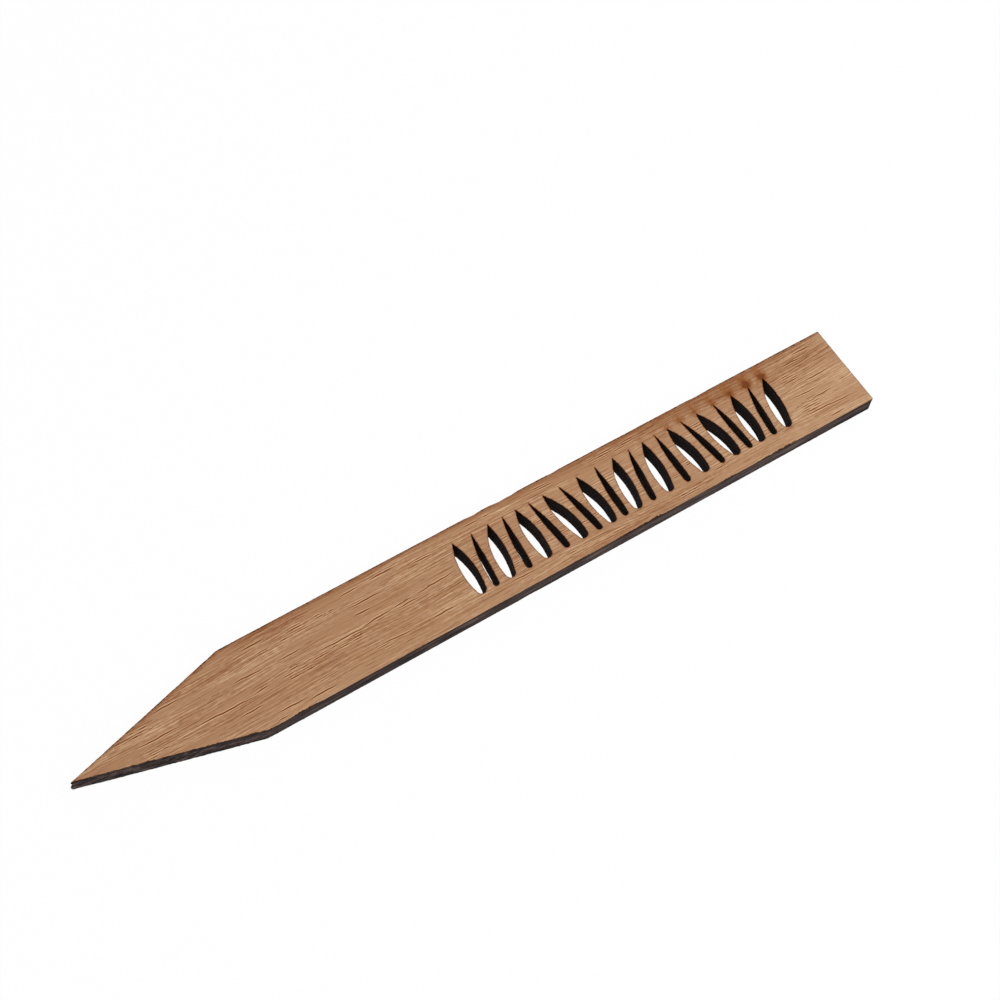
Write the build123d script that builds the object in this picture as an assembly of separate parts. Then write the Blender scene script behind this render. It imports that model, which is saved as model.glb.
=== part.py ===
from build123d import *
import math
import os

# Plant label stake, cut from three-ply board and lying on its back face.
# +X runs from the pointed end to the square end, and +Z points out of the face.
# The origin is under the middle of the stake, on its underside. Millimetres.

# Outline of the stake
stake_length = 190.6
stake_width = 20.0
taper_length = 37.8
tip_radius = 0.05
end_corner_radius = 0.25

# Plies of the board, each back layer repeated at the face
veneer_thickness = 1.2
glue_thickness = 0.1
core_thickness = 1.4

# The softer core is burnt back to a rounder tip than the veneers
core_tip_radius = 0.2

# Band of cut-out grass blades
band_length = 83.2
band_to_square_end = 17.6
rail_width = 3.6
wide_blade_width = 3.2
wide_blade_root = 2.2
slim_blade_width = 1.5
slim_blade_root = 1.3
strip_width = 1.65

# How the blades sway from one to the next
sway_reach = 2.2
blades_per_sway = 9
sway_start_share = 0.05

# Form of one blade, as shares of its height, lean and root width
belly_height_share = 0.45
belly_lean_share = 0.33
root_depth_share = 0.45

tip_x = -stake_length / 2
end_x = stake_length / 2
side_y = stake_width / 2


def taper_angle():
    """Angle between the stake's axis and each tapered side, tangent to the veneers' tip arc."""
    run = taper_length - tip_radius
    return math.atan2(side_y, run) - math.asin(tip_radius / math.hypot(run, side_y))


def stake_outline(radius):
    """Pointed strip whose tapered sides are tangent to a tip arc of the given radius."""
    angle = taper_angle()
    shoulder_x = tip_x + taper_length
    apex_x = shoulder_x - side_y / math.tan(angle)
    arc_x = apex_x + radius / math.sin(angle)
    touch_x = arc_x - radius * math.sin(angle)
    touch_y = radius * math.cos(angle)
    edges = [
        ThreePointArc((touch_x, -touch_y), (arc_x - radius, 0), (touch_x, touch_y)),
        Polyline((touch_x, touch_y), (shoulder_x, side_y), (end_x, side_y)),
        Line((end_x, side_y), (end_x, -side_y)),
        Polyline((end_x, -side_y), (shoulder_x, -side_y), (touch_x, -touch_y)),
    ]
    outline = make_face(edges)
    end_corners = outline.vertices().sort_by(Axis.X)[-2:]
    return fillet(end_corners, end_corner_radius)


def blade_window(middle_x, width, root, lean):
    """One blade of grass: a round root on the lower rail, a belly, and a pointed tip on the upper rail."""
    low_y = rail_width - side_y
    height = stake_width - 2 * rail_width
    root_x = middle_x - lean / 2
    root_y = low_y + root * root_depth_share
    belly_x = root_x + lean * belly_lean_share
    belly_y = low_y + height * belly_height_share
    tip = (root_x + lean, low_y + height)
    left_root = (root_x - root / 2, root_y)
    right_root = (root_x + root / 2, root_y)
    edges = [
        ThreePointArc(left_root, (belly_x - width / 2, belly_y), tip),
        ThreePointArc(tip, (belly_x + width / 2, belly_y), right_root),
        ThreePointArc(right_root, (root_x, low_y), left_root),
    ]
    return make_face(edges)


def blade_windows():
    """Wide and slim blades by turns, wide at both ends, swaying along the band."""
    nominal_pitch = wide_blade_width + slim_blade_width + 2 * strip_width
    pairs = max(1, round((band_length - wide_blade_width) / nominal_pitch))
    step = (band_length - wide_blade_width) / pairs / 2
    first_x = end_x - band_to_square_end - band_length + wide_blade_width / 2
    windows = []
    for index in range(2 * pairs + 1):
        turn = index / blades_per_sway + sway_start_share
        lean = sway_reach * math.sin(2 * math.pi * turn)
        is_wide = index % 2 == 0
        width = wide_blade_width if is_wide else slim_blade_width
        root = wide_blade_root if is_wide else slim_blade_root
        windows.append(blade_window(first_x + index * step, width, root, lean))
    return windows


def ply(level, thickness, radius):
    """One layer of the board, with the windows cut through it."""
    layer = stake_outline(radius) - blade_windows()
    return Pos(0, 0, level) * extrude(layer, amount=thickness)


def main():
    layers = [
        ("back_veneer", veneer_thickness, tip_radius),
        ("back_glue_line", glue_thickness, core_tip_radius),
        ("core_ply", core_thickness, core_tip_radius),
        ("face_glue_line", glue_thickness, core_tip_radius),
        ("face_veneer", veneer_thickness, tip_radius),
    ]
    os.makedirs("parts", exist_ok=True)
    level = 0
    for name, thickness, radius in layers:
        solid = ply(level, thickness, radius)
        solid.label = name
        export_step(solid, f"parts/{name}.step")
        level += thickness


main()
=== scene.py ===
import math
import random

import bmesh
import bpy
import numpy as np
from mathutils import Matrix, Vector
from mathutils.geometry import delaunay_2d_cdt
from mathutils.kdtree import KDTree


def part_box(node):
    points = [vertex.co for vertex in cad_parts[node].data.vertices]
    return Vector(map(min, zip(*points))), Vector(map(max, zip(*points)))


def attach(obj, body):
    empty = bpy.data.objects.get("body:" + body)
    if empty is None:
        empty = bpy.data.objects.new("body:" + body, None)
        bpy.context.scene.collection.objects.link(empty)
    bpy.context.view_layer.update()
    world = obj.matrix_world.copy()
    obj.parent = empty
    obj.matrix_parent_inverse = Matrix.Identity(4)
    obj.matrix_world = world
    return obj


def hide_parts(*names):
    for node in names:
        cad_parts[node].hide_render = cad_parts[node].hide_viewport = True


# Plant label stake: three plies and two glue films, cut out and charred by a laser.
# Meshes are worked out in millimetres and stored in metres.

mm = 0.001

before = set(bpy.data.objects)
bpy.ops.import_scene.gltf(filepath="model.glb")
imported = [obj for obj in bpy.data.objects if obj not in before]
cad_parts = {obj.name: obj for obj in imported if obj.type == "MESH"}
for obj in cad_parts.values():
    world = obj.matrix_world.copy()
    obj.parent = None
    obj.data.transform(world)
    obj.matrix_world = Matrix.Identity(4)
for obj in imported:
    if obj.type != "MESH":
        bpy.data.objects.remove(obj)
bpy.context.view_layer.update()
nodeLow = {name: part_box(name)[0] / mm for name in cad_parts}
nodeHigh = {name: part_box(name)[1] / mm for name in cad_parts}
tipX = nodeLow["face_veneer"].x
endX = nodeHigh["face_veneer"].x
sideY = nodeHigh["face_veneer"].y
topZ = nodeHigh["face_veneer"].z
print("frame loaded:", ", ".join(sorted(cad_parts)))


# Linear colour from the three 0 to 255 values that a screen shows.
def tone(red, green, blue):
    shares = [value / 255 for value in (red, green, blue)]
    linear = [s / 12.92 if s <= 0.04045 else ((s + 0.055) / 1.055) ** 2.4 for s in shares]
    return (*linear, 1.0)


def added(name, data):
    thing = bpy.data.objects.new(name, data)
    bpy.context.scene.collection.objects.link(thing)
    return thing


# Adds nodes to a shader or geometry tree. An input takes a value, an output, or a whole node.
class Wiring:
    def __init__(self, tree):
        self.tree = tree
        self.count = 0

    def feed(self, socket, value):
        if isinstance(value, bpy.types.Node):
            value = value.outputs[0]
        if isinstance(value, bpy.types.NodeSocket):
            self.tree.links.new(value, socket)
        else:
            socket.default_value = value

    def node(self, kind, inputs=None, **settings):
        made = self.tree.nodes.new(kind)
        made.location = (self.count // 5 * 200, -(self.count % 5) * 180)
        self.count += 1
        for name, value in settings.items():
            setattr(made, name, value)
        for key, value in (inputs or {}).items():
            self.feed(made.inputs[key], value)
        return made

    def math(self, operation, *values):
        return self.node("ShaderNodeMath", dict(enumerate(values)), operation=operation)

    def add(self, first, second):
        return self.math("ADD", first, second)

    def times(self, first, second):
        return self.math("MULTIPLY", first, second)

    def scaled(self, value, factor, plus):
        return self.math("MULTIPLY_ADD", value, factor, plus)

    # Noise that swings about zero
    def swing(self, noise, strength):
        return self.times(self.add(noise, -0.5), strength)

    def vector(self, x, y, z):
        return self.node("ShaderNodeCombineXYZ", {0: x, 1: y, 2: z})

    def noise(self, place, scale=1.0, detail=2.0, roughness=0.5):
        settings = {"Vector": place, "Scale": scale, "Detail": detail, "Roughness": roughness}
        return self.node("ShaderNodeTexNoise", settings)

    def smooth(self, value, low, high, start=0.0, end=1.0):
        inputs = {0: value, 1: low, 2: high, 3: start, 4: end}
        return self.node("ShaderNodeMapRange", inputs, interpolation_type="SMOOTHSTEP")

    def mix(self, share, first, second):
        inputs = {0: share, 6: first, 7: second}
        return self.node("ShaderNodeMix", inputs, data_type="RGBA").outputs[2]

    # Brightens or darkens a colour by a factor that varies
    def shaded(self, colour, factor):
        inputs = {0: 1.0, 6: colour, 7: self.vector(factor, factor, factor)}
        return self.node("ShaderNodeMix", inputs, data_type="RGBA", blend_type="MULTIPLY").outputs[2]

    # Colour that runs through evenly spaced tones as the value goes from 0 to 1
    def ramp(self, value, tones):
        made = self.node("ShaderNodeValToRGB", {0: value})
        stops = made.color_ramp.elements
        while len(stops) < len(tones):
            stops.new(0.5)
        for index, stop in enumerate(stops):
            stop.position = index / (len(tones) - 1)
            stop.color = tones[index]
        return made


# Grain of the two oak sheets

# Waves of the grain: height, length along the stake, length across, and turn
faceGrain = {"seed": 11, "waves": [(0.5, 150.0, 110.0, 1.9), (0.2, 52.0, 60.0, 0.4)]}
backGrain = {"seed": 29, "waves": [(0.7, 170.0, 90.0, 4.4), (0.35, 61.0, 70.0, 2.2)]}


# How far the grain that starts at a height y has drifted sideways at x.
def grainDrift(grain, x, y):
    return sum(high * math.sin(2 * math.pi * (x / long + y / across) + turn)
               for high, long, across, turn in grain["waves"])


# The same drift in nodes. It gives the height that counts as y along one line of grain.
def grainHeight(net, grain, x, y):
    height = y
    for high, long, across, turn in grain["waves"]:
        along = net.times(x, 2 * math.pi / long)
        angle = net.scaled(y, 2 * math.pi / across, along)
        wave = net.math("SINE", net.add(angle, turn))
        height = net.scaled(wave, -high, height)
    return height


# Outlines, read from the frame

reading = {
    "weld": 0.0000001,  # metres
    "upward": 0.9,  # normal z of a face that looks up
    "step": 0.25,  # spacing of the points along a cut
    "straightFrom": 2.5,  # a chord longer than this is a straight side
    "cornerTurn": 30.0,  # degrees
}


def signedArea(loop):
    x, y = loop[:, 0], loop[:, 1]
    return float(np.sum(x * np.roll(y, -1) - y * np.roll(x, -1))) / 2


# Closed outlines of a node's top face: the outer one anticlockwise, then the windows clockwise.
def outlineLoops(nodeName):
    merged = bmesh.new()
    merged.from_mesh(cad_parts[nodeName].data)
    bmesh.ops.remove_doubles(merged, verts=merged.verts, dist=reading["weld"])
    merged.verts.index_update()
    places = [(vert.co.x / mm, vert.co.y / mm) for vert in merged.verts]
    beside = {}
    for edge in merged.edges:
        upward = [face.normal.z > reading["upward"] for face in edge.link_faces]
        if upward.count(True) == 1:
            first, second = (vert.index for vert in edge.verts)
            beside.setdefault(first, []).append(second)
            beside.setdefault(second, []).append(first)
    merged.free()
    loops = []
    while beside:
        walk = [next(iter(beside))]
        ahead = beside[walk[0]][0]
        while ahead != walk[0]:
            walk.append(ahead)
            ahead = next(index for index in beside[ahead] if index != walk[-2])
        for index in walk:
            del beside[index]
        loops.append(np.array([places[index] for index in walk]))
    loops.sort(key=lambda loop: -abs(signedArea(loop)))
    outer = loops[0] if signedArea(loops[0]) > 0 else loops[0][::-1]
    windows = [loop if signedArea(loop) < 0 else loop[::-1] for loop in loops[1:]]
    return [outer] + sorted(windows, key=lambda loop: loop[:, 0].mean())


# Heading of a curve where a chord meets its neighbour: straight sides and corners keep their own.
def sharedHeading(own, neighbour, neighbourLength):
    if own @ neighbour < math.cos(math.radians(reading["cornerTurn"])):
        return own
    if neighbourLength > reading["straightFrom"]:
        return neighbour
    joint = own + neighbour
    return joint / np.linalg.norm(joint)


# Evenly spaced points along a loop, with short chords rounded into the curve that they came from.
def spacedLoop(loop):
    chords = np.roll(loop, -1, axis=0) - loop
    lengths = np.linalg.norm(chords, axis=1)
    ways = chords / lengths[:, None]
    points = []
    for index, length in enumerate(lengths):
        after = (index + 1) % len(loop)
        leave = arrive = ways[index]
        if length < reading["straightFrom"]:
            leave = sharedHeading(ways[index], ways[index - 1], lengths[index - 1])
            arrive = sharedHeading(ways[index], ways[after], lengths[after])
        pieces = max(1, round(length / reading["step"]))
        for piece in range(pieces):
            t = piece / pieces
            startPull = t * (1 - t) ** 2 * length
            endPull = -t * t * (1 - t) * length
            near = (1 + 2 * t) * (1 - t) ** 2
            straight = near * loop[index] + (1 - near) * loop[after]
            points.append(straight + startPull * leave + endPull * arrive)
    return np.array(points)


# Unit vectors that point out of the wood at each point of a loop.
def outwards(loop):
    along = np.roll(loop, -1, axis=0) - np.roll(loop, 1, axis=0)
    along = along / np.linalg.norm(along, axis=1)[:, None]
    return np.stack([along[:, 1], -along[:, 0]], axis=1)


# What the laser did to the cut edges

cutEdge = {
    # How far the char reaches onto the face from each kind of edge
    "charReach": {"nearSide": 0.0, "farSide": 0.12, "end": 0.03, "window": 0.045},
    "taperReach": 0.05,  # the near side of the point is charred further in
    # How far beyond that the wood is brown
    "brownReach": {"nearSide": 0.06, "farSide": 1.0, "end": 0.2, "window": 0.32},
    "tipShare": 0.2,  # share of both reaches at the tip, and the length over which it grows by one
    "shareLength": 18.0,
    "sideways": 0.7,  # an edge that faces more to the side than this belongs to a side
    "taperGap": 0.01,  # the taper is the near side that lies further in than this
    "nearProud": 0.05,  # crust that stands out from the near side
    "tipFade": 1.4,  # over how much of the tip its rows stand back
    "pointFade": (0.9, 5.0),  # from the tip, where the wear of its lower corner sets in and fades
    # Lenses of soot on the near wall: place from the tip, height, half length, half height, how dark
    "soot": [
        (4, 3.3, 1.4, 0.4, 0.3), (10, 1, 2.4, 0.4, 0.5), (14.5, 3.5, 1.4, 0.5, 0.6),
        (19.5, 1.5, 1.8, 0.5, 0.5), (24, 3.4, 1.6, 0.4, 0.4), (27.5, 0.7, 2.4, 0.35, 0.6),
        (35, 3.5, 1.2, 0.5, 0.4), (42, 1.9, 9, 0.8, -0.1), (46.5, 3.9, 2.8, 0.35, 0.8),
        (46, 2.6, 1.4, 0.35, 0.4), (58, 3, 2.4, 0.45, 0.4), (61.5, 1.6, 1.5, 0.4, 0.6),
        (72, 1.7, 3.6, 0.4, 0.8), (81, 1.3, 3.2, 0.45, 0.8), (73, 3.6, 5, 0.3, 0.4),
        (74, 2.7, 5, 0.35, -0.2), (88, 2.6, 5, 0.8, -0.15), (109, 0.6, 5, 0.35, 0.5),
        (112.5, 3.5, 2.6, 0.4, 0.9), (116, 2.3, 4.5, 0.5, -0.25), (125.5, 3.9, 3.2, 0.3, 0.8),
        (131, 3.9, 2.6, 0.4, 1), (133, 2.2, 6, 0.6, -0.1), (151, 3.8, 1.8, 0.3, 0.9),
        (161, 3.8, 2.4, 0.3, 0.7), (165.5, 3.8, 2.4, 0.4, 1), (164, 2.3, 5, 0.9, -0.2),
        (171, 2.2, 2.5, 0.7, -0.15), (174, 0.6, 4.5, 0.4, 0.8), (186, 0.7, 6, 0.5, 0.9),
        (187, 3.4, 5, 0.35, 0.6), (190.5, 2, 1, 2, 0.4),
    ],
    # Dents in the far side: place from the tip, half length, depth
    "dents": [(99, 1.6, 0.16), (105.5, 1.8, 0.24), (108.5, 1.4, 0.18), (119, 1.2, 0.12), (157, 2, 0.1)],
    "dentBand": 0.1,  # they touch only what lies this close to the side
    "sootReach": 0.2,  # how far the soot of a lens spreads onto the face
    "followDepth": 1.2,  # the face follows its edge's roughness this far in
    "countedDepth": 3.0,  # beyond this the distance from the cut no longer counts
}


def dentDepth(x, y):
    if y < sideY - cutEdge["dentBand"]:
        return 0.0
    return sum(deep * math.exp(-((x - tipX - place) / half) ** 2)
               for place, half, deep in cutEdge["dents"])


def sootAt(x, z):
    return sum(dark * math.exp(-((x - tipX - place) / half) ** 4 - ((z - middle) / high) ** 2)
               for place, middle, half, high, dark in cutEdge["soot"])


# The cut-out area of one ply, and how far any point is from the cut.
class CutPlan:
    def __init__(self, nodeName):
        self.loops = [spacedLoop(loop) for loop in outlineLoops(nodeName)]
        self.rim = np.concatenate(self.loops)
        self.outward = np.concatenate([outwards(loop) for loop in self.loops])
        self.dent = np.array([dentDepth(x, y) for x, y in self.rim])
        self.rings = []
        self.kinds = []
        self.charReach = []
        self.brownReach = []
        first = 0
        for loop in self.loops:
            self.rings.append(list(range(first, first + len(loop))))
            for (x, y), way in zip(loop, self.outward[first:first + len(loop)]):
                kind = "window" if first else "end"
                if kind == "end" and abs(way[1]) > cutEdge["sideways"]:
                    kind = "nearSide" if way[1] < 0 else "farSide"
                self.kinds.append(kind)
                onTaper = kind == "nearSide" and y > cutEdge["taperGap"] - sideY
                share = min(1.0, cutEdge["tipShare"] + (x - tipX) / cutEdge["shareLength"])
                reach = cutEdge["taperReach"] if onTaper else cutEdge["charReach"][kind] * share
                self.charReach.append(reach)
                self.brownReach.append(cutEdge["brownReach"][kind] * share)
            first += len(loop)
        self.tree = KDTree(len(self.rim))
        for index, (x, y) in enumerate(self.rim):
            self.tree.insert((x, y, 0), index)
        self.tree.balance()

    # Nearest point of the rim, and the distance from the cut, which is below zero outside the wood
    def nearest(self, x, y):
        place, index, distance = self.tree.find((x, y, 0))
        rimX, rimY = self.rim[index]
        outX, outY = self.outward[index]
        aside = (x - rimX) * outX + (y - rimY) * outY
        return index, -distance if aside > 0 else distance


# Keeps points apart, with a grid of millimetre cells to look in.
class Spread:
    def __init__(self):
        self.cells = {}

    def isFree(self, x, y, reachX, reachY):
        for column in range(math.floor(x - reachX), math.floor(x + reachX) + 1):
            for row in range(math.floor(y - reachY), math.floor(y + reachY) + 1):
                for otherX, otherY in self.cells.get((column, row), ()):
                    if abs(otherX - x) < reachX and abs(otherY - y) < reachY:
                        return False
        return True

    def put(self, x, y):
        self.cells.setdefault((math.floor(x), math.floor(y)), []).append((x, y))


# Pores of the oak

pores = {
    "tries": 850,
    "lengths": (1.5, 8.0),  # shortest and longest pore
    "lengthPower": 1.8,  # above 1, short pores are the common ones
    "sizes": (0.35, 0.6),  # scale of a plain pore
    "longSizes": (0.95, 1.2),
    "halfWidth": 0.145,
    "depth": 0.06,
    "lipWidth": 0.24,  # painted highlight: a pale line along each lip of a strong pore
    "lipPeak": 0.35,  # share of that width where it is palest
    "stretch": 0.45,  # longest run between two points of a pore
    "fewest": 3,  # points along the shortest pore
    "endReach": 3,  # how far its two ends reach beyond them, in half widths
    "longSway": ((0.05, 0.9), (0.03, 2.3)),  # two waves of a long pore, each with height and rate
    "apart": (0.6, 0.2),  # along and across the grain
    "fromCut": 0.12,
    "ringPitch": 3.4,  # from one growth ring to the next
    "ringShare": 0.4,  # share of a ring that is rich in pores
    "ringSway": (0.35, 0.9),  # unevenness of the rings across the stake and along it: height and rate
    "ringDrift": (0.2, 0.035),
    "strayShare": 0.3,  # share of the pores that keep to no ring
}

# Long dark pores that stand out: start from the tip, end, height at the start, drop
longPores = [
    (13.4, 23.4, -0.4, 0.1), (19.7, 26.3, 4.5, -0.2), (25.4, 39.5, -2.2, 0.3), (39.8, 42.8, -1.9, -0.1),
    (34.7, 39.7, -4.9, 0), (36.8, 43.8, 2.05, 0.1), (46.8, 52.6, 1.85, 0), (41.8, 47.6, 7.5, 0.1),
    (41.3, 47.6, -7.9, 0), (48, 54.3, -8.6, -0.1), (40.5, 42.8, -9.3, 0), (54, 67, -0.5, 0.1),
    (65, 69.7, 7.7, -0.1), (72.6, 78.4, 7.9, -0.2), (65.5, 73.4, 4.6, 0.1), (81.3, 87.2, 6.6, 0),
    (65.5, 69.3, 2.5, 0), (66, 72.4, -0.3, -0.3), (73.4, 77.6, 0.1, -0.2), (78.8, 88.6, 0.35, -0.55),
    (74, 79.2, -0.5, -0.1), (66.3, 74.7, -5.6, 0.4), (78.4, 84.7, -5.9, 0), (96.8, 103.8, -7.2, 0.1),
    (174, 188.4, -5.9, 0.8), (180, 186.3, 1.2, 0), (175, 181.3, -1.1, 0.3), (179, 184, -3.2, 0),
    (177.4, 183.4, 6.6, 0.1), (182, 187, 8.1, 0.3), (180, 183.2, -8.8, 0),
]

# Flocks of pores in rows: start from the tip, end, lowest height, number of rows
poreFlocks = [
    (13.4, 20.3, -3.6, 4), (13.4, 18.4, 1.9, 3), (44.5, 54, -2.9, 3), (47, 61.5, -1.7, 3),
    (49.7, 57.4, 5.3, 4), (43.4, 47.6, 4.8, 2), (57.6, 62.6, 5.6, 3), (58, 66.3, -2.1, 3),
    (65, 71, -6.6, 3), (174.5, 180, 2.7, 4), (174, 180.5, -5.5, 5), (139, 144, -8.9, 2),
    (110, 118, -8.4, 2),
    # Between the windows
    (97, 104.5, -4.8, 3), (92, 104, 1.7, 2), (104, 124, 1.3, 2), (104, 129, -3.1, 2),
    (92.5, 104, 8.5, 1), (111.5, 120, 8.1, 2), (126, 142, 7.6, 3), (147, 157.5, -7, 1),
    (144, 150.5, -2.9, 2), (149, 155.5, 3.8, 2), (157, 164, -5.1, 2), (163, 172, 0.1, 2),
]

flockRows = {
    "pitch": 0.5,
    "dashes": (1.2, 5.0),
    "gaps": (0.5, 1.8),
    "sizes": (0.65, 1.05),
    "ragged": 0.3,  # how much of its length a row may lack at each end
    "overrun": 0.5,  # how far the last pore may run past the end
    "wobble": 0.05,  # how far a row may lie off its place
}


# All pores of one face: points, edges between them, and how far each point is a pore and a lip with its
# painted highlight, up to 1.
def poreField(plan, grain, withLongOnes):
    random.seed(grain["seed"])
    spread = Spread()
    points, creases, depths, lipHighlights = [], [], [], []

    # One line of a pore between two cuts. The ends of a pore belong to all its lines.
    def join(run, ends, depth, lipHighlight):
        previous = None
        for place in run if len(run) > 1 else []:
            known = ends.get(place)
            if known is None:
                isEnd = place in ends
                known = len(points)
                points.append(place)
                depths.append(0.0 if isEnd else depth)
                lipHighlights.append(0.0 if isEnd else lipHighlight)
                if isEnd:
                    ends[place] = known
            if previous is not None:
                creases.append((previous, known))
            previous = known

    def carve(xs, ys, scale, hasLips):
        if not all(spread.isFree(x, y, *pores["apart"]) for x, y in zip(xs, ys)):
            return
        count = len(xs)
        swell = [math.sin(math.pi * (index + 0.5) / count) ** 0.5 for index in range(count)]
        half = pores["halfWidth"] * scale
        palest = half + pores["lipWidth"] * pores["lipPeak"]
        outer = half + pores["lipWidth"]
        offsets = (outer, palest, half, 0.0, -half, -palest, -outer)
        start = (xs[0] - half * pores["endReach"], ys[0])
        end = (xs[-1] + half * pores["endReach"], ys[-1])
        ends = {start: None, end: None}
        for offset in offsets if hasLips else offsets[2:-2]:
            depth = scale if offset == 0.0 else 0.0
            lipHighlight = 1.0 if abs(offset) == palest else 0.0
            run = []
            for x, y in [start] + [(x, y + offset * s) for x, y, s in zip(xs, ys, swell)] + [end]:
                if plan.nearest(x, y)[1] < pores["fromCut"]:
                    join(run, ends, depth, lipHighlight)
                    run = []
                else:
                    run.append((x, y))
            join(run, ends, depth, lipHighlight)
        for x, y in zip(xs, ys):
            spread.put(x, y)

    def evenly(first, length):
        count = max(pores["fewest"], math.ceil(length / pores["stretch"]))
        return [first + length * index / (count - 1) for index in range(count)]

    # A pore that starts at x and follows the grain from a given height
    def follow(x, height, length, scale, hasLips):
        xs = evenly(x, length)
        ys = [height + grainDrift(grain, at, height) - grainDrift(grain, x, height) for at in xs]
        if xs[-1] < endX and max(abs(y) for y in ys) < sideY:
            carve(xs, ys, scale, hasLips)

    if withLongOnes:
        (slow, slowRate), (quick, quickRate) = pores["longSway"]
        for start, end, height, drop in longPores:
            xs = evenly(tipX + start, end - start)
            sway = [slow * math.sin(x * slowRate + height) + quick * math.sin(x * quickRate) for x in xs]
            ys = [height - drop * index / (len(xs) - 1) + sway[index] for index in range(len(xs))]
            carve(xs, ys, random.uniform(*pores["longSizes"]), True)
        for start, end, low, rowCount in poreFlocks:
            for row in range(rowCount):
                wobble = random.uniform(-flockRows["wobble"], flockRows["wobble"])
                height = low + row * flockRows["pitch"] + wobble
                lacking = (end - start) * flockRows["ragged"]
                x = tipX + start + random.uniform(0.0, lacking)
                last = tipX + end - random.uniform(0.0, lacking)
                while x < last:
                    length = random.uniform(*flockRows["dashes"])
                    scale = random.uniform(*flockRows["sizes"])
                    follow(x, height, min(length, last - x + flockRows["overrun"]), scale, True)
                    x += length + random.uniform(*flockRows["gaps"])
    shortest, longest = pores["lengths"]
    sway, swayRate = pores["ringSway"]
    drift, driftRate = pores["ringDrift"]
    for attempt in range(pores["tries"]):
        x = random.uniform(tipX, endX)
        height = random.uniform(-sideY, sideY)
        ring = height / pores["ringPitch"]
        ring = ring + sway * math.sin(height * swayRate) + drift * math.sin(x * driftRate)
        length = shortest + (longest - shortest) * random.random() ** pores["lengthPower"]
        scale = random.uniform(*pores["sizes"])
        if ring % 1.0 < pores["ringShare"] or random.random() < pores["strayShare"]:
            follow(x, height, length, scale, False)
    return points, creases, depths, lipHighlights


# Points that fill a face between its pores and its cuts

filling = {
    "rimOffsets": (0.3, 0.75),  # rows of points that follow the cuts
    "rimApart": 0.17,
    "pitch": (1.0, 0.5),
    "gridApart": 0.2,
    "tipPitch": 0.12,  # points down the middle of the tip, which is too slim for those rows
    "tipCount": 10,
    "tipFromCut": 0.03,
    "slack": 0.9,  # share of its offset or pitch that a row has to keep
}


def fillPoints(plan, taken):
    spread = Spread()
    for x, y in taken:
        spread.put(x, y)
    points = []

    def place(x, y, apart, fromCut):
        if plan.nearest(x, y)[1] > fromCut and spread.isFree(x, y, apart, apart):
            spread.put(x, y)
            points.append((x, y))

    for offset in filling["rimOffsets"]:
        for (x, y), (outX, outY) in zip(plan.rim, plan.outward):
            x, y = x - outX * offset, y - outY * offset
            place(x, y, filling["rimApart"], offset * filling["slack"])
    for order in range(filling["tipCount"]):
        x = tipX + (order + 1) * filling["tipPitch"]
        place(x, 0.0, filling["tipPitch"] * filling["slack"], filling["tipFromCut"])
    pitchX, pitchY = filling["pitch"]
    for column in range(math.floor((endX - tipX) / pitchX)):
        for row in range(math.floor(2 * sideY / pitchY)):
            x = tipX + (column + 0.5 + 0.5 * (row % 2)) * pitchX
            y = -sideY + (row + 0.5) * pitchY
            place(x, y, filling["gridApart"], filling["rimOffsets"][0])
    return points


# Triangles of a cut-out face. New points come after those of the rim.
def faceTriangles(plan, points, creases):
    corners = [Vector(place) for place in plan.rim] + [Vector(place) for place in points]
    first = len(plan.rim)
    edges = [(first + a, first + b) for a, b in creases]
    rings = [plan.rings[0]] + [ring[::-1] for ring in plan.rings[1:]]
    places, _, faces, origins, _, owners = delaunay_2d_cdt(corners, edges, rings, 0, 1e-6, True)
    inside = [face for face, owner in zip(faces, owners) if owner == [0]]
    return places, inside, origins


# Brown smoke marks on the rail beyond the upper ends of the windows

smoke = {
    "startX": 132.0,  # from the tip, where the marks begin to show
    "fullX": 166.0,
    "uneven": (0.65, 1.0),  # weakest and strongest mark
    "seed": 5,
    "sizes": (1.15, 0.85),  # half widths of the marks over a wide and a slim window
    "wideFrom": 2.4,
    "core": (0.25, 1.0, 1.3),  # dark core: lift over the window, half height, strength
    "plume": (2.1, 1.5, 0.5),  # the same for the plume over it
    "railShare": 0.15,  # how much the whole rail has browned
    "railEnd": (178.0, 6.0),  # from the tip, where that ends, and over what length it fades
    "railEdge": (5.6, 1.5),  # height where it begins, and over what height it grows
}


# How much smoke has settled at each place on the face
def smokeMarks(plan, flat):
    total = np.zeros(len(flat))
    growth = smoke["fullX"] - smoke["startX"]
    random.seed(smoke["seed"])
    for loop in plan.loops[1:]:
        x, y = loop[loop[:, 1].argmax()]
        grown = min(max((x - tipX - smoke["startX"]) / growth, 0.0), 1.0)
        strength = grown * random.uniform(*smoke["uneven"])
        half = smoke["sizes"][0 if np.ptp(loop[:, 0]) > smoke["wideFrom"] else 1]
        for lift, high, share in (smoke["core"], smoke["plume"]):
            away = ((flat[:, 0] - x) / half) ** 2 + ((flat[:, 1] - y - lift) / high) ** 2
            total = total + strength * share * np.exp(-away)
    fromTip = flat[:, 0] - tipX
    railEnd, fade = smoke["railEnd"]
    low, rise = smoke["railEdge"]
    ahead = np.clip((fromTip - smoke["startX"]) / growth, 0, 1)
    ahead = ahead * np.clip((railEnd - fromTip) / fade, 0, 1)
    onRail = np.clip((flat[:, 1] - low) / rise, 0, 1)
    return total + smoke["railShare"] * ahead * onRail


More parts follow.
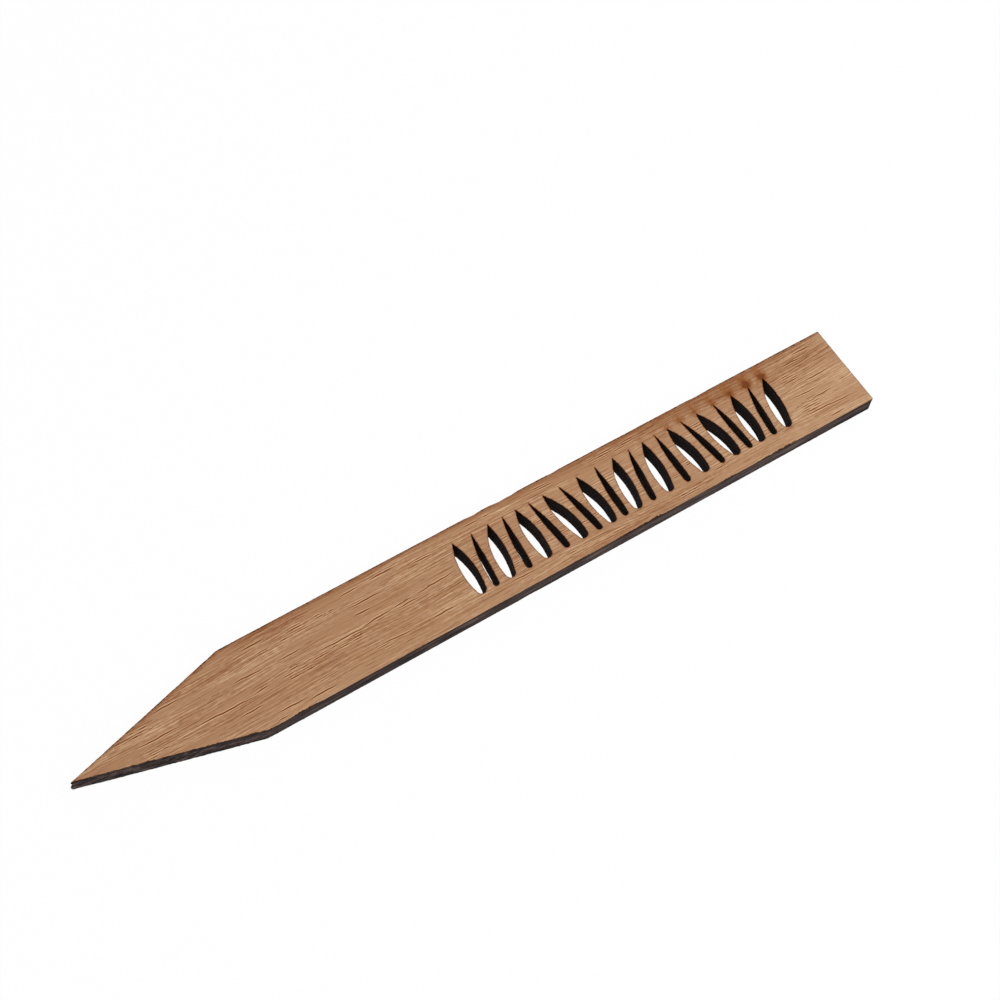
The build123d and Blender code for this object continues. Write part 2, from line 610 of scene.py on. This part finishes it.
# One ply as a closed shell: two faces and a wall along every cut.
# Each row of the wall is its height as a share of the ply, how far it stands back at the tip, and how far
# it stands in along the near side of the point.
class PlyShell:
    def __init__(self, name, layer):
        self.plan = CutPlan(layer["node"])
        self.low = nodeLow[layer["node"]].z
        self.high = nodeHigh[layer["node"]].z
        self.layer = layer
        self.verts = []
        self.faces = []
        self.onWall = []
        self.values = {}
        self.wall()
        self.cap(True)
        self.cap(False)
        self.object = self.made(name)

    def put(self, place, rimIndex, depth, arris, pore=0.0, lipHighlight=0.0):
        plan = self.plan
        follow = max(0.0, 1.0 - depth / cutEdge["followDepth"])
        out = plan.outward[rimIndex] * follow
        kind = plan.kinds[rimIndex]
        soot = sootAt(place[0], place[2]) * follow if kind == "nearSide" else 0.0
        known = {
            "outward": (out[0], out[1], 0.0),
            "arris": arris * follow,
            "cutDepth": min(depth, cutEdge["countedDepth"]),
            "charReach": plan.charReach[rimIndex] + max(soot, 0.0) * cutEdge["sootReach"],
            "brownReach": plan.brownReach[rimIndex],
            "soot": soot,
            "window": float(kind == "window"),
            "pore": pore,
            "lipHighlight": lipHighlight,
        }
        self.verts.append(place)
        for label, value in known.items():
            self.values.setdefault(label, []).append(value)

    def wall(self):
        plan = self.plan
        count = len(plan.rim)
        rows = self.layer["rows"]
        for share, tipBack, pointInset in rows:
            isArris = share == self.layer["arris"]
            for index, (x, y) in enumerate(plan.rim):
                inward = plan.dent[index]
                if plan.kinds[index] == "nearSide":
                    setIn, fade = (math.exp(-(x - tipX) / reach) for reach in cutEdge["pointFade"])
                    inward += pointInset * (fade - setIn) - cutEdge["nearProud"]
                outX, outY = plan.outward[index]
                shifted = x - outX * inward + tipBack * math.exp(-(x - tipX) / cutEdge["tipFade"])
                place = (shifted, y - outY * inward, self.low + (self.high - self.low) * share)
                self.put(place, index, 0.0, 1.0 if isArris else 0.0)
        for row in range(len(rows) - 1):
            low, high = row * count, (row + 1) * count
            for ring in plan.rings:
                for index, here in enumerate(ring):
                    ahead = ring[(index + 1) % len(ring)]
                    self.faces.append((low + here, low + ahead, high + ahead, high + here))
        self.onWall = [1.0] * len(self.faces)

    def cap(self, isTop):
        plan = self.plan
        count = len(plan.rim)
        isCarved = self.layer["carved"] == ("top" if isTop else "bottom")
        points, creases, depths, lipHighlights, fill = [], [], [], [], []
        if isCarved:
            points, creases, depths, lipHighlights = poreField(plan, self.layer["grain"], isTop)
            fill = fillPoints(plan, points)
        places, inside, origins = faceTriangles(plan, points + fill, creases)
        rowStart = (len(self.layer["rows"]) - 1) * count if isTop else 0
        index = {}
        for order, (place, origin) in enumerate(zip(places, origins)):
            if origin and origin[0] < count:
                index[order] = rowStart + origin[0]
                continue
            source = origin[0] - count if origin else len(depths)
            isPore = source < len(depths)
            pore, lipHighlight = (depths[source], lipHighlights[source]) if isPore else (0.0, 0.0)
            rimIndex, depth = plan.nearest(place.x, place.y)
            sunk = pore * pores["depth"]
            index[order] = len(self.verts)
            level = self.high - sunk if isTop else self.low + sunk
            self.put((place.x, place.y, level), rimIndex, max(depth, 0.0), 1.0, pore, lipHighlight)
        for face in inside:
            turned = face if isTop else face[::-1]
            self.faces.append(tuple(index[corner] for corner in turned))
            self.onWall.append(0.0 if isCarved else 1.0)

    def made(self, name):
        flat = np.array([(x, y) for x, y, _ in self.verts])
        self.values["scorch"] = smokeMarks(self.plan, flat)
        mesh = bpy.data.meshes.new(name)
        mesh.from_pydata([(x * mm, y * mm, z * mm) for x, y, z in self.verts], [], self.faces)
        for label, values in self.values.items():
            isVector = label == "outward"
            layer = mesh.attributes.new(label, "FLOAT_VECTOR" if isVector else "FLOAT", "POINT")
            numbers = np.array(values, dtype=np.float32).ravel()
            layer.data.foreach_set("vector" if isVector else "value", numbers)
        mesh.attributes.new("wall", "FLOAT", "FACE").data.foreach_set("value", self.onWall)
        mesh.update()
        print("shell", name, len(self.verts), "points", len(self.faces), "faces")
        return added(name, mesh)


# Laser cut walls, as a geometry tree that every ply goes through

# Lengths that the tree takes, in millimetres
laserMarks = {
    "Crust depth": 0.12,
    "Crust size": 0.5,
    "Ridge depth": 0.05,
    "Ridge pitch": 0.35,
    "Wear depth": 0.06,
    "Wear length": 6.0,
    "Nick depth": 0.16,
    "Nick size": 0.9,
    "Point length": 36.0,
    "Tip x": tipX,
    "Calm length": 6.0,
}
laserPattern = {
    "seed": 4,
    "worn": (0.5, 0.8),  # noise between which an edge goes from sound to worn, and to nicked
    "nicked": (0.5, 0.7),
    "pointEnd": 1.2,  # in point lengths, where the nicks have become as shallow as they get
    "nicksBeyond": 0.1,  # share of their depth that is left there
    "tipCalm": 0.1,  # share of the roughness that is left at the very tip
}


def laserCutTree():
    tree = bpy.data.node_groups.new("laserCut", "GeometryNodeTree")
    kinds = {"Geometry": "Geometry", "Seed": "Int", "Material": "Material"}
    for label in ("Geometry", "Recess", *laserMarks, "Seed", "Material"):
        kind = "NodeSocket" + kinds.get(label, "Float")
        tree.interface.new_socket(label, in_out="INPUT", socket_type=kind)
    tree.interface.new_socket("Geometry", in_out="OUTPUT", socket_type="NodeSocketGeometry")
    net = Wiring(tree)
    given = net.node("NodeGroupInput").outputs
    place = net.node("GeometryNodeInputPosition")
    split = net.node("ShaderNodeSeparateXYZ", {0: place}).outputs
    flat = net.vector(split[0], split[1], given["Seed"])

    def stored(name, kind):
        return net.node("GeometryNodeInputNamedAttribute", {"Name": name}, data_type=kind)

    def pattern(spot, size, detail):
        return net.noise(spot, net.math("DIVIDE", 1.0, given[size]), detail)

    # Crumbly char all over the wall, and upright ridges that the beam leaves, the same at every height
    crust = net.swing(pattern(place, "Crust size", 3.0), given["Crust depth"])
    ridges = net.swing(pattern(flat, "Ridge pitch", 1.0), given["Ridge depth"])

    # Slow waves and worn places along the edge
    worn = net.smooth(pattern(flat, "Wear length", 3.0), *laserPattern["worn"])
    wear = net.times(worn, given["Wear depth"])

    # Small nicks in the corner between wall and face, most of them on the point
    fromTip = net.math("SUBTRACT", split[0], given["Tip x"])
    nicked = net.smooth(pattern(flat, "Nick size", 2.0), *laserPattern["nicked"])
    pointEnd = net.times(given["Point length"], laserPattern["pointEnd"])
    onPoint = net.smooth(fromTip, given["Point length"], pointEnd, 1.0, laserPattern["nicksBeyond"])
    atArris = net.times(onPoint, stored("arris", "FLOAT"))
    nicks = net.times(net.times(nicked, given["Nick depth"]), atArris)

    rough = net.add(net.add(crust, ridges), net.add(wear, nicks))
    calm = net.smooth(fromTip, 0.0, given["Calm length"], laserPattern["tipCalm"], 1.0)
    inward = net.scaled(rough, calm, given["Recess"])
    push = {0: stored("outward", "FLOAT_VECTOR"), "Scale": net.times(inward, -1.0)}
    shift = net.node("ShaderNodeVectorMath", push, operation="SCALE")
    moved = net.node("GeometryNodeSetPosition", {"Geometry": given["Geometry"], "Offset": shift})
    real = net.node("GeometryNodeRealizeInstances", {0: moved})
    painted = net.node("GeometryNodeSetMaterial", {0: real, "Material": given["Material"]})
    net.node("NodeGroupOutput", {0: painted})
    return tree


# Runs an object through a tree and keeps the result as a plain mesh.
def grown(thing, tree, values):
    modifier = thing.modifiers.new(tree.name, "NODES")
    modifier.node_group = tree
    for socket in tree.interface.items_tree:
        if socket.in_out == "INPUT" and socket.name in values:
            modifier[socket.identifier] = values[socket.name]
    graph = bpy.context.evaluated_depsgraph_get()
    result = bpy.data.meshes.new_from_object(thing.evaluated_get(graph), depsgraph=graph)
    thing.modifiers.remove(modifier)
    old = thing.data
    thing.data = result
    result.name = thing.name
    bpy.data.meshes.remove(old)
    return thing


# Materials

# Nodes of a material or a world, from an empty tree
def wired(owner):
    owner.use_nodes = True
    owner.node_tree.nodes.clear()
    return Wiring(owner.node_tree)


def newMaterial(name):
    material = bpy.data.materials.new(name)
    return material, wired(material)


# x, y and z of the object's own coordinates in millimetres
def millimetres(net):
    own = net.node("ShaderNodeTexCoord").outputs["Object"]
    scaled = net.node("ShaderNodeVectorMath", {0: own, "Scale": 1 / mm}, operation="SCALE")
    return scaled, net.node("ShaderNodeSeparateXYZ", {0: scaled}).outputs


def attribute(net, name):
    return net.node("ShaderNodeAttribute", attribute_name=name).outputs["Fac"]


def finished(net, colour, roughness, bump, bumpDepth, specular):
    shader = net.node("ShaderNodeBsdfPrincipled", {
        "Base Color": colour,
        "Roughness": roughness,
        "Specular IOR Level": specular,
        "Normal": net.node("ShaderNodeBump", {"Distance": bumpDepth * mm, "Height": bump}),
    })
    net.node("ShaderNodeOutputMaterial", {0: shader})


# Char on the cut walls, one pattern for all plies
char = {
    "seed": 5.0,
    "tones": (tone(26, 20, 19), tone(60, 49, 47), tone(100, 84, 80)),
    "tipLevel": 0.41,  # how light the char is on the point, and at the square end
    "endLevel": 0.56,
    "paleFrom": 35.0,  # from the tip, where the char begins to grow lighter, and where it stops
    "paleTo": 160.0,
    "mottledTo": 48.0,  # diagonal mottles give way to streaks this far from the tip
    "mottleFade": 0.55,  # share of that where they begin to fade
    "mottleSlant": (0.35, 0.45),  # how fast they change along and over height, one way and the other
    "mottleRise": (-0.9, 1.4),
    "mottleContrast": 3.2,
    "streakPitch": (0.12, 1.6),  # how close the streaks are along and over height
    "streakContrast": 2.1,
    "sootShade": 0.75,
    "upperShade": 0.3,  # darker by this much towards the face, and towards the back
    "lowerShade": 0.55,
    "shadeFrom": 0.9,  # from face or back, where that sets in
    "shadeFull": 0.3,
    "arrisTone": tone(76, 42, 20),  # thin brown line where the wall meets the face
    "arrisDepth": 0.12,
    "arrisShare": 0.6,
    "grit": (0.75, 1.2),  # darkest and lightest grit, as a factor
    # painted shade: the char on the walls of the windows is painted darker, as shade in the deep narrow
    # slots
    "windowPaintedShade": 0.45,
    "pitDepth": 0.05,
    "roughness": 0.9,
    "specular": 0.12,
}


def charColour(net, place, split):
    along = net.add(split[0], split[1])
    fadeFrom = tipX + char["mottledTo"] * char["mottleFade"]
    nearTip = net.smooth(split[0], fadeFrom, tipX + char["mottledTo"], 1.0, 0.0)
    perLength, perHeight = char["mottleSlant"]
    slanted = net.scaled(split[2], perHeight, net.times(along, perLength))
    perLength, perHeight = char["mottleRise"]
    rising = net.scaled(along, perLength, net.times(split[2], perHeight))
    mottles = net.noise(net.vector(slanted, rising, char["seed"]), 1.0, 2.0, 0.6)
    mottles = net.swing(mottles, net.times(nearTip, char["mottleContrast"]))
    perLength, perHeight = char["streakPitch"]
    drawn = net.vector(net.times(along, perLength), net.times(split[2], perHeight), char["seed"] + 7.0)
    streaks = net.swing(net.noise(drawn, 1.0, 3.0, 0.6), char["streakContrast"])
    upperFrom, upperFull = topZ - char["shadeFrom"], topZ - char["shadeFull"]
    upper = net.smooth(split[2], upperFrom, upperFull, 0.0, -char["upperShade"])
    edges = net.add(upper, net.smooth(split[2], 0.0, char["shadeFrom"], -char["lowerShade"], 0.0))
    paleFrom, paleTo = tipX + char["paleFrom"], tipX + char["paleTo"]
    level = net.smooth(split[0], paleFrom, paleTo, char["tipLevel"], char["endLevel"])
    level = net.add(net.add(level, edges), net.add(mottles, streaks))
    level = net.scaled(attribute(net, "soot"), -char["sootShade"], level)
    colour = net.ramp(level, char["tones"])
    onArris = net.smooth(split[2], topZ - char["arrisDepth"], topZ, 0.0, char["arrisShare"])
    colour = net.mix(onArris, colour, char["arrisTone"])
    grit = net.smooth(net.noise(place, 4.0, 3.0, 0.7), 0.3, 0.7, *char["grit"])
    # Painted shade on the walls of the windows, which lie deep in narrow slots
    windowPaintedShadeFactor = net.scaled(attribute(net, "window"), char["windowPaintedShade"] - 1.0, 1.0)
    return net.shaded(colour, net.times(grit, windowPaintedShadeFactor))


faceOak = {
    "grain": faceGrain,
    "seed": 3.0,
    "tones": (tone(133, 81, 46), tone(152, 106, 72), tone(173, 131, 97), tone(193, 155, 120),
              tone(213, 179, 143)),
    # Layers of figure: how close across the grain, how close along it, and how strong
    "figure": (
        (0.09, 0.004, 0.58), (0.85, 0.08, 0.17), (1.6, 0.1, 0.22), (1.4, 0.6, 0.14), (3.2, 0.9, 0.28),
        (0.36, 0.02, 0.38),
    ),
    # Fine fibres, each with painted relief: a painted shade beside a painted highlight, as on a groove
    # lit from one side. The same three numbers, and how far a fibre's shade lies from its highlight
    "fibres": ((2.7, 0.12, 0.22, 0.12), (3.6, 0.17, 0.54, 0.1)),
    "calm": (0.35, 1.5),  # how strong all but the broadest layer are in calm and in lively patches
    "patches": (0.05, 0.28),  # how close those patches are along and across
    "wander": (0.03, 0.12, 1.2),  # slow sideways drift of the fibres
    # Hairlines: how close across, how close along, width, and how dark
    "hairlines": ((0.7, 0.02, 0.02, 0.16), (1.1, 0.03, 0.025, 0.12)),
    "paleShare": 0.3,  # how strong the pale line beside a hairline is, a painted highlight, how far off and how wide
    "paleAside": 2.2,
    "paleWidth": 1.3,
    "tipLevel": 0.497,
    "endLevel": 0.538,
    "slopeAcross": -0.004,  # the near side is the lighter one
    # Broad shades, each with the x and then the y between which it sets in, and how much lighter it is
    "shades": (
        (-96, -94, 6, 9.5, -0.09), (-96, -94, -6, -9.5, 0.05), (-4, 4, -12, -11, -0.035),
        (68, 78, -12, -11, 0.03), (60, 88, -1, 4.5, -0.1), (60, 88, 4.5, 8, 0.25),
        (-36, -44, -7.5, -9.8, 0.1),
    ),
    "poreTone": tone(112, 50, 2),
    "poreShare": 0.95,
    # Painted highlight: pale tone on the lips of the pores, and how strongly it shows
    "lipHighlightTone": tone(214, 174, 134),
    "lipHighlightShare": 0.9,
    # Light and heavy smoke: amount where it sets in, where it is full, how strong, and tone
    "smoke": ((0.0, 0.7, 0.85, tone(141, 84, 38)), (0.5, 1.1, 0.8, tone(102, 46, 8))),
    "smokeRagged": (1.3, 0.7),  # unevenness of the smoke, all round and drawn out along the grain
    "brown": tone(136, 78, 36),
    "brownShare": (0.3, 0.9),  # least and most of the brown, and of the reach of the black, along a cut
    "blackShare": (0.3, 2.6),
    "blackEdge": 0.02,
    "reliefDepth": 0.03,
    "roughness": 0.68,
    "specular": 0.14,
}
backOak = dict(faceOak, grain=backGrain, seed=8.0, tipLevel=0.44, endLevel=0.52)


def oakMaterial(name, look):
    material, net = newMaterial(name)
    place, split = millimetres(net)
    height = grainHeight(net, look["grain"], split[0], split[1])

    # Noise drawn out along the grain. The last part of the seed only tells one layer from another.
    def drawnNoise(along, across, seed, detail=0.0, aside=0.0):
        beside = net.scaled(height, across, aside * across)
        spot = net.vector(net.times(split[0], along), beside, look["seed"] + seed)
        return net.noise(spot, 1.0, detail)

    alongStep, acrossStep, reach = look["wander"]
    drift = drawnNoise(alongStep, acrossStep, 40.0, 1.0)
    height = net.add(height, net.scaled(drift, reach, -0.5 * reach))

    # The wood is lighter towards the square end and the near side
    level = net.smooth(split[0], tipX, endX, look["tipLevel"], look["endLevel"])
    level = net.scaled(split[1], look["slopeAcross"], level)
    for fromX, toX, fromY, toY, lift in look["shades"]:
        setIn = net.times(net.smooth(split[0], fromX, toX), net.smooth(split[1], fromY, toY))
        level = net.scaled(setIn, lift, level)
    lively = net.smooth(drawnNoise(*look["patches"], 60.0, 1.0), 0.32, 0.68, *look["calm"])
    for order, (across, along, strength) in enumerate(look["figure"]):
        wave = net.swing(drawnNoise(along, across, order * 3.7), strength)
        level = net.scaled(wave, lively if order else 1.0, level)
    # Fine fibres with painted relief: painted shade on one side of each and a painted highlight on the
    # other
    for order, (across, along, strength, apart) in enumerate(look["fibres"]):
        light = drawnNoise(along, across, 30.0 + order * 3.7, 0.0, apart)
        shade = drawnNoise(along, across, 30.0 + order * 3.7, 0.0, -apart)
        fibreWithPaintedRelief = net.times(net.math("SUBTRACT", light, shade), strength)
        level = net.scaled(fibreWithPaintedRelief, lively, level)

    # Hairlines, each with a pale line beside it: a painted highlight, as on the lit side of a groove
    for order, (across, along, width, strength) in enumerate(look["hairlines"]):
        wave = drawnNoise(along, across, 50.0 + order * 5.3, 1.0)
        shown = net.smooth(drawnNoise(0.06, 0.4, 70.0 + order * 3.1), 0.45, 0.65)
        fromLine = net.math("ABSOLUTE", net.add(wave, -0.5))
        fromPale = net.math("ABSOLUTE", net.add(wave, -0.5 - look["paleAside"] * width))
        dark = net.smooth(fromLine, 0.0, width, -strength, 0.0)
        # The pale line is a painted highlight beside the hairline
        pale = net.smooth(fromPale, 0.0, width * look["paleWidth"], strength * look["paleShare"], 0.0)
        level = net.add(level, net.add(net.times(dark, shown), net.times(pale, shown)))
    colour = net.ramp(level, look["tones"])
    # Painted highlight along the lips of the pores
    lipHighlight = net.smooth(attribute(net, "lipHighlight"), 0.0, 1.0, 0.0, look["lipHighlightShare"])
    colour = net.mix(lipHighlight, colour, look["lipHighlightTone"])
    carved = net.smooth(attribute(net, "pore"), 0.0, 0.4, 0.0, look["poreShare"])
    colour = net.mix(carved, colour, look["poreTone"])

    # Smoke marks
    ragged = net.noise(place, 1.7, 4.0, 0.65)
    drawn = drawnNoise(0.5, 2.0, 90.0, 2.0)
    allRound, drawnOut = look["smokeRagged"]
    uneven = net.scaled(ragged, allRound, net.times(drawn, drawnOut))
    smoked = net.add(attribute(net, "scorch"), net.add(uneven, -1.0))
    smoked = net.times(smoked, net.smooth(attribute(net, "scorch"), 0.0, 0.25))
    for low, high, strength, stain in look["smoke"]:
        colour = net.mix(net.smooth(smoked, low, high, 0.0, strength), colour, stain)

    # The black and the brown of the burnt rim
    blackShare = net.smooth(ragged, 0.35, 0.72, *look["blackShare"])
    reach = net.times(attribute(net, "charReach"), blackShare)
    past = net.math("SUBTRACT", attribute(net, "cutDepth"), reach)
    halo = net.smooth(net.math("DIVIDE", past, attribute(net, "brownReach")), 0.0, 1.0, 1.0, 0.0)
    halo = net.times(halo, net.smooth(drawn, 0.25, 0.7, *look["brownShare"]))
    colour = net.mix(halo, colour, look["brown"])
    charred = net.smooth(past, -look["blackEdge"], look["blackEdge"], 1.0, 0.0)
    charred = net.math("MAXIMUM", charred, attribute(net, "wall"))
    colour = net.mix(charred, colour, charColour(net, place, split))

    fibres = drawnNoise(0.28, 6.5, 9.0, 3.0)
    relief = net.add(net.times(fibres, 0.6), net.times(net.noise(place, 9.0, 2.0), charred))
    roughness = net.smooth(charred, 0.0, 1.0, look["roughness"], char["roughness"])
    finished(net, colour, roughness, relief, look["reliefDepth"], look["specular"])
    return material


# The core shows only its charred end grain.
def coreMaterial(name):
    material, net = newMaterial(name)
    place, split = millimetres(net)
    pits = net.noise(place, 5.0, 4.0, 0.7)
    colour = charColour(net, place, split)
    finished(net, colour, char["roughness"], pits, char["pitDepth"], char["specular"])
    return material


glueFilm = {
    "shade": (0.75, 1.0),  # of the char between its beads and on them
    "beadDepth": 0.03,
    "roughness": 0.6,
    "specular": 0.3,
}


# Glue that has boiled and charred in the cut
def glueMaterial(name):
    material, net = newMaterial(name)
    place, split = millimetres(net)
    beads = net.noise(place, 3.0, 3.0, 0.6)
    shade = net.smooth(beads, 0.35, 0.7, *glueFilm["shade"])
    colour = net.shaded(charColour(net, place, split), shade)
    finished(net, colour, glueFilm["roughness"], beads, glueFilm["beadDepth"], glueFilm["specular"])
    return material


charredGlue = glueMaterial("charredGlue")

# The plies. Rows are those of PlyShell, and "recess" is how far the wall stands back all round.
layers = {
    "oakFace": {
        "node": "face_veneer", "slot": "face_oak", "material": oakMaterial("charredOakFace", faceOak),
        "rows": ((0, -0.12, 0), (0.12, -0.18, 0), (0.3, -0.28, 0), (0.48, -0.36, 0),
                 (0.66, -0.4, 0), (0.82, -0.37, 0), (0.94, -0.26, 0), (1, -0.12, 0)),
        "arris": 1, "carved": "top", "grain": faceGrain, "recess": 0,
    },
    "faceGlueFilm": {
        "node": "face_glue_line", "slot": "glue", "material": charredGlue,
        "rows": ((0, -0.79, 0), (1, -0.81, 0)),
        "arris": None, "carved": None, "recess": 0.03,
    },
    "crossGrainCore": {
        "node": "core_ply", "slot": "core_wood", "material": coreMaterial("charredCore"),
        "rows": ((0, -1.15, 0), (0.14, -1.18, 0), (0.28, -1.18, 0), (0.43, -1.12, 0),
                 (0.57, -0.98, 0), (0.71, -0.82, 0), (0.86, -0.73, 0), (1, -0.77, 0)),
        "arris": None, "carved": None, "recess": 0.02,
    },
    "backGlueFilm": {
        "node": "back_glue_line", "slot": "glue", "material": charredGlue,
        "rows": ((0, -1.1, 0), (1, -1.13, 0)),
        "arris": None, "carved": None, "recess": 0.03,
    },
    "oakBack": {
        "node": "back_veneer", "slot": "back_oak", "material": oakMaterial("charredOakBack", backOak),
        "rows": ((0, 0.5, 0.26), (0.08, 0.3, 0.19), (0.2, 0.12, 0.11), (0.36, -0.04, 0.05),
                 (0.54, -0.16, 0.02), (0.72, -0.24, 0), (0.9, -0.31, 0), (1, -0.34, 0)),
        "arris": 0, "carved": "bottom", "grain": backGrain, "recess": 0,
    },
}

cutTree = laserCutTree()
for pieceName, layer in layers.items():
    shell = PlyShell(pieceName, layer)
    values = {label: length * mm for label, length in laserMarks.items()}
    values["Recess"] = layer["recess"] * mm
    values["Seed"] = laserPattern["seed"]
    values["Material"] = layer["material"]
    piece = grown(shell.object, cutTree, values)
    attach(piece, "root")
    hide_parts(layer["node"])
print("plies cut and charred")


# Floor, light and camera

studio = {
    "floorReach": 3.0,  # metres
    "floorDrop": 0.00003,
    "floorTone": 0.9,
    "white": (1.0, 1.0, 1.0, 1.0),
    "whiteShare": 0.97,  # how much of the floor that the camera sees is plain white
    "skyStrength": 0.55,
    "keyPlace": (0.5, -0.55, 0.9),
    "keySize": 0.7,
    "keyPower": 9.0,
}


# 1 for rays whose background is plain white
def whiteRays(net):
    rays = net.node("ShaderNodeLightPath").outputs
    seen = net.add(rays["Is Camera Ray"], rays["Is Glossy Ray"])
    return net.math("MINIMUM", net.add(seen, rays["Is Transmission Ray"]), 1.0)


def makeFloor():
    reach = studio["floorReach"]
    corners = [(-reach, -reach), (reach, -reach), (reach, reach), (-reach, reach)]
    mesh = bpy.data.meshes.new("studioFloor")
    mesh.from_pydata([(x, y, -studio["floorDrop"]) for x, y in corners], [], [(0, 1, 2, 3)])
    material, net = newMaterial("studioPaper")
    grey = studio["floorTone"]
    paper = net.node("ShaderNodeBsdfDiffuse", {"Color": (grey, grey, grey, 1.0)})
    white = net.node("ShaderNodeEmission", {"Color": studio["white"], "Strength": 1.0})
    share = net.times(whiteRays(net), studio["whiteShare"])
    both = net.node("ShaderNodeMixShader", {0: share, 1: paper, 2: white})
    net.node("ShaderNodeOutputMaterial", {0: both})
    mesh.materials.append(material)
    floor = added("studioFloor", mesh)


def makeLight():
    world = bpy.data.worlds.new("studioSky")
    net = wired(world)
    skyLight = {"Color": studio["white"], "Strength": studio["skyStrength"]}
    sky = net.node("ShaderNodeBackground", skyLight)
    white = net.node("ShaderNodeBackground", {"Color": studio["white"], "Strength": 1.0})
    both = net.node("ShaderNodeMixShader", {0: whiteRays(net), 1: sky, 2: white})
    net.node("ShaderNodeOutputWorld", {0: both})
    bpy.context.scene.world = world
    key = bpy.data.lights.new("softKey", "AREA")
    key.size = studio["keySize"]
    key.energy = studio["keyPower"]
    lamp = added("softKey", key)
    lamp.location = studio["keyPlace"]
    lamp.rotation_euler = (-lamp.location).to_track_quat("-Z", "Y").to_euler()


camera = {
    "place": (-185.845, -183.528, 467.508),  # millimetres
    "turn": (30.092, -6.6898, -34.0836),  # degrees
    "lens": 93.715,
}


def makeCamera():
    data = bpy.data.cameras.new("photoCamera")
    data.lens = camera["lens"]
    eye = added("photoCamera", data)
    eye.location = [value * mm for value in camera["place"]]
    eye.rotation_euler = [math.radians(angle) for angle in camera["turn"]]
    bpy.context.scene.camera = eye


makeFloor()
makeLight()
makeCamera()
bpy.context.scene.view_settings.view_transform = "Standard"
print("studio ready")
